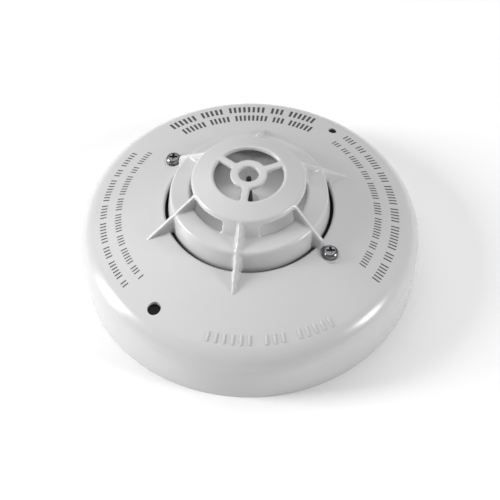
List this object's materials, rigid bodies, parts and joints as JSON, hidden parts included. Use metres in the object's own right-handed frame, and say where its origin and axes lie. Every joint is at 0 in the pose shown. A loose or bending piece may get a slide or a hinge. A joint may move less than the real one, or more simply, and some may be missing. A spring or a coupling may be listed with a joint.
{
  "type": "heat detector",
  "caption": "Round white ceiling heat detector head with a domed cover, a finned open cap over a thermistor, screwed-on cover and contact blades behind.",
  "frame": {"origin": "centre of the flat face of the cover's rim, at the back of the head", "axes": "+Z from the rim towards the nose; the cover screws lie at about 141 and 321 degrees from +X, counter-clockwise seen from the nose"},
  "size_m": [0.1, 0.1, 0.0367],
  "materials": {
    "cover_plastic": "smooth moulded",
    "back_plastic": "lightly textured",
    "board_laminate": "solder-masked",
    "housing_plastic": "smooth moulded",
    "seal_rubber": "matt",
    "bead_resin": "dipped resin",
    "grommet_rubber": "satin",
    "tinned_wire": "tinned",
    "contact_metal": "satin",
    "screw_steel": "bright plated",
    "insert_brass": "turned",
    "diode_resin": "clear tinted",
    "lens_plastic": "dark tinted",
    "package_epoxy": "moulded epoxy",
    "can_aluminium": "drawn can",
    "suppressor_coat": "dipped",
    "chip_part": "fired ceramic",
    "label_film": "printed film"
  },
  "bodies": {
    "chassis": {"rear_body": "back_plastic", "circuit_board": "board_laminate", "sensor_housing": "housing_plastic", "seal_ring": "seal_rubber", "thermistor": "bead_resin", "thermistor_grommet": "grommet_rubber", "thermistor_leads": "tinned_wire", "contact_blades": "contact_metal", "contact_rivets": "contact_metal", "contact_pins": "tinned_wire", "screw_inserts": "insert_brass", "board_screws": "screw_steel", "indicator_diodes": "diode_resin", "indicator_lenses": "lens_plastic", "controller_chip": "package_epoxy", "bridge_rectifier": "package_epoxy", "electrolytic_capacitor": "can_aluminium", "surge_suppressor": "suppressor_coat", "resistors": "chip_part", "ceramic_capacitors": "chip_part", "transistors": "package_epoxy", "rear_label": "label_film"},
    "cover": {"outer_cover": "cover_plastic"},
    "left_screw": {"cover_screw_left": "screw_steel"},
    "right_screw": {"cover_screw_right": "screw_steel"}
  },
  "joints": [
    {"name": "cover_lift", "type": "slide", "parent": "chassis", "child": "cover", "axis": [0, 0, 1], "range_m": [0, 0.045]},
    {"name": "screw_turn_left", "type": "hinge", "parent": "cover", "child": "left_screw", "pos_m": [-0.02237, 0.01786, 0.02], "axis": [0, 0, 1], "continuous": true},
    {"name": "screw_turn_right", "type": "hinge", "parent": "cover", "child": "right_screw", "pos_m": [0.02237, -0.01786, 0.02], "axis": [0, 0, 1], "continuous": true}
  ]
}
